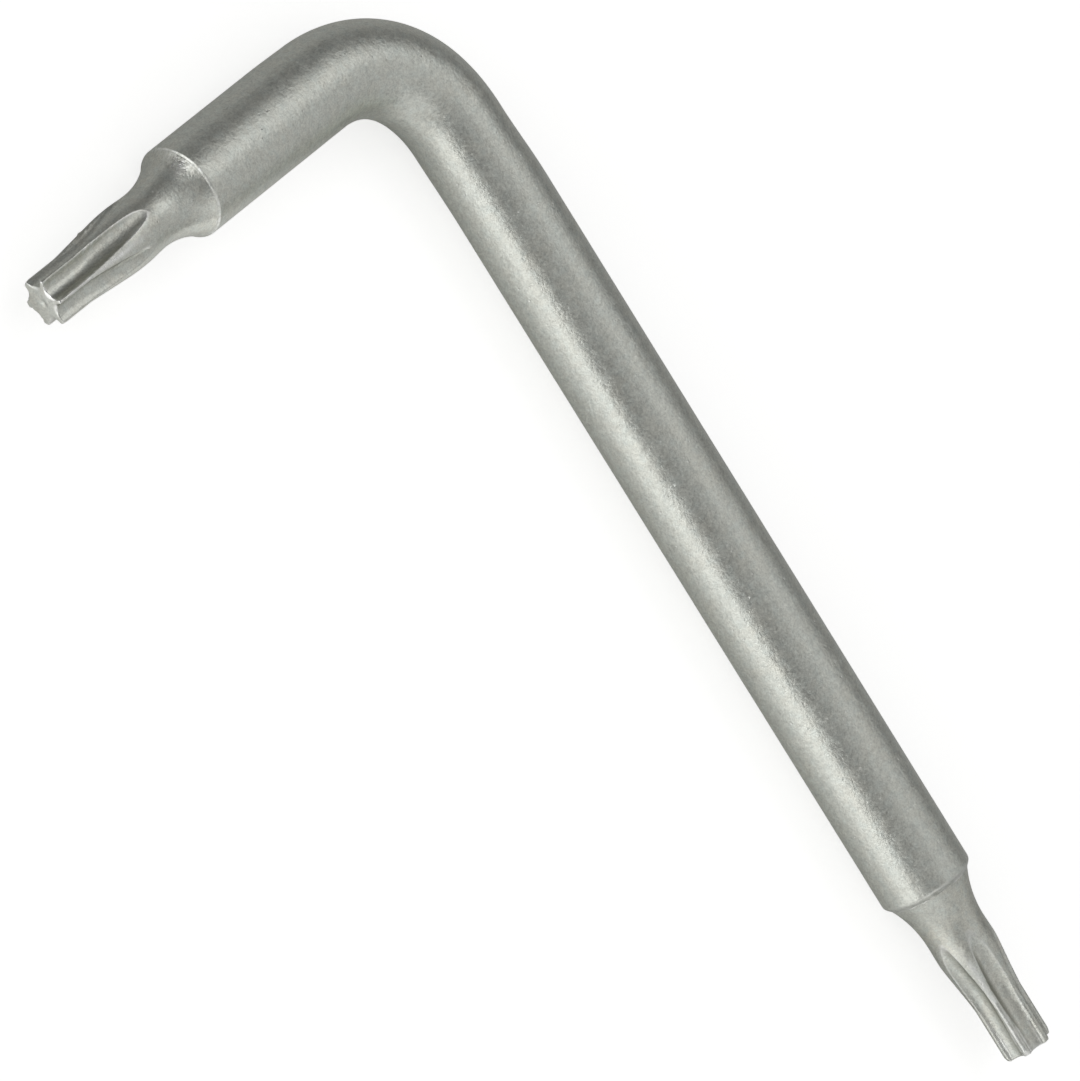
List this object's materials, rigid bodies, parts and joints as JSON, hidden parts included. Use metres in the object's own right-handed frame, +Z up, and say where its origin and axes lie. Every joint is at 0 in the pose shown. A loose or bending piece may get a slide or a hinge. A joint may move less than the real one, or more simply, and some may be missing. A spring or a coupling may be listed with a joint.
{
  "type": "star key",
  "caption": "L-shaped round steel key with a lobed star drive formed on the end of each arm, for turning screws with a star recess.",
  "frame": {"origin": "centre of the bounding box's underside, with the key lying flat", "axes": "+X along the long arm to its star, -Y along the short arm to its star, +Z up from the surface that the key lies on"},
  "size_m": [0.1016, 0.047, 0.008],
  "materials": {
    "bar_steel": "satin, finely blasted",
    "tip_steel": "satin, turned and formed"
  },
  "bodies": {
    "root": {"shank": "bar_steel", "long_star_tip": "tip_steel", "short_star_tip": "tip_steel"}
  },
  "joints": []
}
